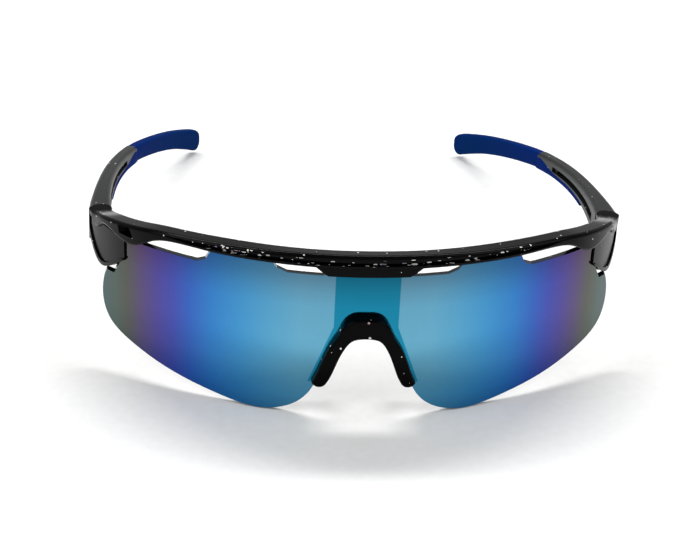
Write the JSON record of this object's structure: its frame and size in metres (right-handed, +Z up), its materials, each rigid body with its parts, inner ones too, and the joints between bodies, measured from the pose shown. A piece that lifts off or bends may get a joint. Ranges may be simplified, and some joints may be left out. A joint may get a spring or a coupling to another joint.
{
  "type": "wraparound sport sunglasses",
  "caption": "Half-frame wraparound sunglasses: one-piece curved mirrored shield lens with vents, browbar, side shields, nose saddle and folding temples with rubber tips.",
  "frame": {"origin": "on the surface that the open glasses stand on, under the middle of their overall box", "axes": "+Z up, -Y towards the front of the lens, +Y back along the temples, +X to the right as seen from the front"},
  "size_m": [0.1422, 0.1674, 0.0468],
  "materials": {
    "frame_black": "gloss black nylon with white paint flecks",
    "shield_black": "satin black nylon",
    "temple_black": "satin dark grey nylon with white paint flecks",
    "lens_mirror": "blue to purple mirror coating on polycarbonate",
    "bridge_black": "gloss black nylon with white paint flecks",
    "pad_rubber": "soft dark rubber",
    "tip_rubber": "satin blue rubber",
    "screw_steel": "turned steel"
  },
  "bodies": {
    "front": {"front_frame": "frame_black", "side_shield_left": "shield_black", "side_shield_right": "shield_black", "lens": "lens_mirror", "nose_bridge": "bridge_black", "nose_pad_left": "pad_rubber", "nose_pad_right": "pad_rubber", "hinge_screw_left": "screw_steel", "hinge_screw_right": "screw_steel"},
    "temple_left": {"temple_arm_left": "temple_black", "temple_rubber_left": "tip_rubber"},
    "temple_right": {"temple_arm_right": "temple_black", "temple_rubber_right": "tip_rubber"}
  },
  "joints": [
    {"name": "fold_left", "type": "hinge", "parent": "front", "child": "temple_left", "pos_m": [-0.0672, -0.03946, 0.032], "axis": [0, 0, -1], "range_deg": [0, 85]},
    {"name": "fold_right", "type": "hinge", "parent": "front", "child": "temple_right", "pos_m": [0.0672, -0.03946, 0.032], "axis": [0, 0, 1], "range_deg": [0, 74]}
  ]
}
